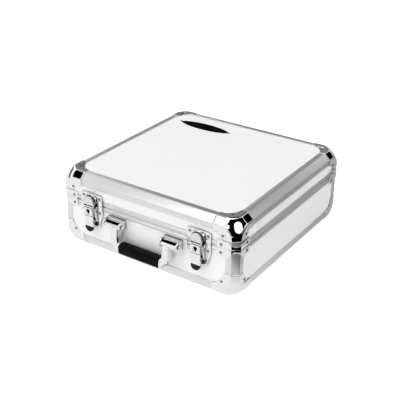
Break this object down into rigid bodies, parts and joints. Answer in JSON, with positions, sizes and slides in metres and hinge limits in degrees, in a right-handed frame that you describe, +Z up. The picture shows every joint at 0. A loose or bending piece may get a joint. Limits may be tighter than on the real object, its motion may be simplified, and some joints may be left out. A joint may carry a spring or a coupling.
{
  "type": "art supply box",
  "caption": "Hard carry case for art supplies: white panels in aluminium edge profiles, hinged lid, capped corners, keyed draw latches and a drop handle on the front.",
  "frame": {"origin": "centre of the bottom panel's underside", "axes": "+X to the case's right seen from the front, +Y towards the hinges, +Z up"},
  "size_m": [0.3738, 0.4127, 0.1498],
  "materials": {
    "panel": "satin white laminate",
    "profile": "fine brushed, anodised",
    "chrome": "polished",
    "rivet": "bright",
    "steel": "bright",
    "badge": "gloss",
    "tip": "satin",
    "grip": "satin",
    "foot": "matte",
    "foam": "open-cell foam, matte"
  },
  "bodies": {
    "base": {"base_bottom_panel": "panel", "base_front_panel": "panel", "base_right_panel": "panel", "base_back_panel": "panel", "base_left_panel": "panel", "base_edge_front": "profile", "base_edge_right": "profile", "base_edge_back": "profile", "base_edge_left": "profile", "base_rim": "profile", "base_corner_posts": "profile", "base_corner_caps": "chrome", "base_corner_braces": "chrome", "base_rivets": "rivet", "base_feet": "foot", "foot_screws": "steel", "base_foam": "foam", "latch_plate_left": "chrome", "latch_plate_right": "chrome", "latch_pivot_pins": "steel", "base_hinge_leaves": "chrome", "hinge_pins": "steel", "handle_bracket_left": "chrome", "handle_bracket_right": "chrome", "handle_pins": "chrome"},
    "lid": {"lid_top_panel": "panel", "lid_front_panel": "panel", "lid_right_panel": "panel", "lid_back_panel": "panel", "lid_left_panel": "panel", "lid_edge_front": "profile", "lid_edge_right": "profile", "lid_edge_back": "profile", "lid_edge_left": "profile", "lid_rim": "profile", "lid_corner_posts": "profile", "lid_corner_caps": "chrome", "lid_corner_braces": "chrome", "lid_rivets": "rivet", "badge_plate": "badge", "badge_pins": "rivet", "lid_foam": "foam", "latch_keeper_left": "chrome", "latch_keeper_right": "chrome", "lid_hinge_leaves": "chrome"},
    "handle": {"handle_arm_left": "chrome", "handle_arm_right": "chrome", "handle_grip": "grip", "handle_core": "steel", "handle_collars": "chrome"},
    "left_lever": {"latch_lever_left": "chrome", "latch_tip_left": "tip"},
    "left_hook": {"latch_hook_left": "chrome"},
    "left_lock": {"lock_cylinder_left": "steel"},
    "right_lever": {"latch_lever_right": "chrome", "latch_tip_right": "tip"},
    "right_hook": {"latch_hook_right": "chrome"},
    "right_lock": {"lock_cylinder_right": "steel"}
  },
  "joints": [
    {"name": "lid_hinge", "type": "hinge", "parent": "base", "child": "lid", "pos_m": [0, 0.194, 0.0935], "axis": [-1, 0, 0], "range_deg": [0, 97]},
    {"name": "handle_pivot", "type": "hinge", "parent": "base", "child": "handle", "pos_m": [0.002, -0.1995, 0.072], "axis": [-1, 0, 0], "range_deg": [0, 95]},
    {"name": "left_latch_lever", "type": "hinge", "parent": "base", "child": "left_lever", "pos_m": [-0.1135, -0.197, 0.091], "axis": [-1, 0, 0], "range_deg": [0, 110]},
    {"name": "left_latch_hook", "type": "hinge", "parent": "left_lever", "child": "left_hook", "pos_m": [-0.1135, -0.1945, 0.073], "axis": [-1, 0, 0], "range_deg": [-83, 0]},
    {"name": "left_lock_turn", "type": "hinge", "parent": "left_lever", "child": "left_lock", "pos_m": [-0.1135, -0.2014, 0.0822], "axis": [0, -1, 0], "range_deg": [0, 90]},
    {"name": "right_latch_lever", "type": "hinge", "parent": "base", "child": "right_lever", "pos_m": [0.1135, -0.197, 0.091], "axis": [-1, 0, 0], "range_deg": [0, 110]},
    {"name": "right_latch_hook", "type": "hinge", "parent": "right_lever", "child": "right_hook", "pos_m": [0.1135, -0.1945, 0.073], "axis": [-1, 0, 0], "range_deg": [-83, 0]},
    {"name": "right_lock_turn", "type": "hinge", "parent": "right_lever", "child": "right_lock", "pos_m": [0.1135, -0.2014, 0.0822], "axis": [0, -1, 0], "range_deg": [0, 90]}
  ],
  "couplings": [
    {"joint": "left_latch_hook", "follows": "left_latch_lever", "ratio": -0.75},
    {"joint": "right_latch_hook", "follows": "right_latch_lever", "ratio": -0.75}
  ]
}
